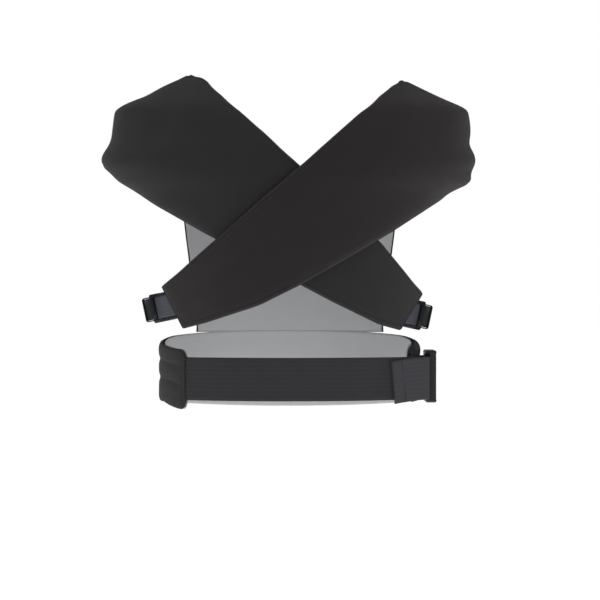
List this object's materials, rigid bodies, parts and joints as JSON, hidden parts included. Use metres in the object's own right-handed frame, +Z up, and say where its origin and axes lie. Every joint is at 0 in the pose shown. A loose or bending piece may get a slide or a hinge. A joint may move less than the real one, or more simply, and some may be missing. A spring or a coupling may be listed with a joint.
{
  "type": "crossed-strap carrier harness",
  "caption": "Wearable fabric carrier harness with wide shoulder straps crossed at the back, a padded waistband, a front panel and side-release buckles.",
  "frame": {"origin": "centre of the wearer's waist at the belt webbing's mid-height", "axes": "+X is the wearer's right, +Y is the way the wearer looks, +Z is up"},
  "size_m": [0.432, 0.2528, 0.3887],
  "materials": {
    "knit": "matt black stretch knit",
    "webbing": "charcoal navy woven webbing, slight sheen",
    "lining": "pale grey spacer mesh",
    "foam": "open-cell foam",
    "elastic": "black ribbed elastic",
    "buckle_plastic": "fine satin black moulding",
    "snap": "smooth black snap cap"
  },
  "bodies": {
    "harness": {"left_shoulder_strap": "knit", "right_shoulder_strap": "knit", "front_panel": "knit", "waistband_cover": "knit", "belt_webbing": "webbing", "waist_anchor_webbing": "webbing", "left_strap_webbing": "webbing", "right_strap_webbing": "webbing", "left_anchor_webbing": "webbing", "right_anchor_webbing": "webbing", "front_panel_lining": "lining", "waistband_lining": "lining", "waistband_foam": "foam", "waist_buckle_plug": "buckle_plastic", "left_buckle_plug": "buckle_plastic", "right_buckle_plug": "buckle_plastic", "panel_snap_studs": "snap"},
    "waist_buckle_socket_body": {"waist_buckle_socket": "buckle_plastic"},
    "waist_buckle_upper_prong_body": {"waist_buckle_upper_prong": "buckle_plastic"},
    "waist_buckle_lower_prong_body": {"waist_buckle_lower_prong": "buckle_plastic"},
    "left_buckle_socket_body": {"left_buckle_socket": "buckle_plastic"},
    "left_buckle_upper_prong_body": {"left_buckle_upper_prong": "buckle_plastic"},
    "left_buckle_lower_prong_body": {"left_buckle_lower_prong": "buckle_plastic"},
    "right_buckle_socket_body": {"right_buckle_socket": "buckle_plastic"},
    "right_buckle_upper_prong_body": {"right_buckle_upper_prong": "buckle_plastic"},
    "right_buckle_lower_prong_body": {"right_buckle_lower_prong": "buckle_plastic"},
    "left_keeper_body": {"left_tail_keeper": "elastic"},
    "right_keeper_body": {"right_tail_keeper": "elastic"},
    "head_support_body": {"head_support": "knit", "head_support_snap_caps": "snap"}
  },
  "joints": [
    {"name": "waist_buckle_release", "type": "slide", "parent": "harness", "child": "waist_buckle_socket_body", "axis": [0, 1, 0], "range_m": [0, 0.032], "deforming": ["waist_buckle_upper_prong", "waist_buckle_lower_prong", "waist_anchor_webbing"]},
    {"name": "waist_buckle_upper_prong_squeeze", "type": "hinge", "parent": "harness", "child": "waist_buckle_upper_prong_body", "pos_m": [0.16475, 0, 0.0223], "axis": [-1, 0, 0], "range_deg": [0, 10], "stiffness_Nm_per_rad": 0.3},
    {"name": "waist_buckle_lower_prong_squeeze", "type": "hinge", "parent": "harness", "child": "waist_buckle_lower_prong_body", "pos_m": [0.16475, 0, -0.0193], "axis": [1, 0, 0], "range_deg": [0, 10], "stiffness_Nm_per_rad": 0.3},
    {"name": "left_buckle_release", "type": "slide", "parent": "harness", "child": "left_buckle_socket_body", "axis": [0.3345, 0.9397, 0.0711], "range_m": [0, 0.021], "deforming": ["left_buckle_upper_prong", "left_buckle_lower_prong", "left_anchor_webbing"]},
    {"name": "left_buckle_upper_prong_squeeze", "type": "hinge", "parent": "harness", "child": "left_buckle_upper_prong_body", "pos_m": [-0.14937, 0.03099, 0.0914], "axis": [-0.9192, 0.342, -0.1954], "range_deg": [0, 12], "stiffness_Nm_per_rad": 0.3},
    {"name": "left_buckle_lower_prong_squeeze", "type": "hinge", "parent": "harness", "child": "left_buckle_lower_prong_body", "pos_m": [-0.145, 0.03099, 0.07086], "axis": [0.9192, -0.342, 0.1954], "range_deg": [0, 12], "stiffness_Nm_per_rad": 0.3},
    {"name": "right_buckle_release", "type": "slide", "parent": "harness", "child": "right_buckle_socket_body", "axis": [-0.3345, 0.9397, 0.0711], "range_m": [0, 0.021], "deforming": ["right_buckle_upper_prong", "right_buckle_lower_prong", "right_anchor_webbing"]},
    {"name": "right_buckle_upper_prong_squeeze", "type": "hinge", "parent": "harness", "child": "right_buckle_upper_prong_body", "pos_m": [0.14801, 0.03099, 0.0834], "axis": [-0.9192, -0.342, 0.1954], "range_deg": [0, 12], "stiffness_Nm_per_rad": 0.3},
    {"name": "right_buckle_lower_prong_squeeze", "type": "hinge", "parent": "harness", "child": "right_buckle_lower_prong_body", "pos_m": [0.14364, 0.03099, 0.06285], "axis": [0.9192, 0.342, -0.1954], "range_deg": [0, 12], "stiffness_Nm_per_rad": 0.3},
    {"name": "left_keeper_slide", "type": "slide", "parent": "harness", "child": "left_keeper_body", "axis": [0, 1, 0], "range_m": [0, 0.008]},
    {"name": "right_keeper_slide", "type": "slide", "parent": "harness", "child": "right_keeper_body", "axis": [0, 1, 0], "range_m": [0, 0.008]},
    {"name": "head_support_fold", "type": "hinge", "parent": "harness", "child": "head_support_body", "pos_m": [0.002, 0.1195, 0.2333], "axis": [1, 0, 0], "range_deg": [0, 165]}
  ]
}
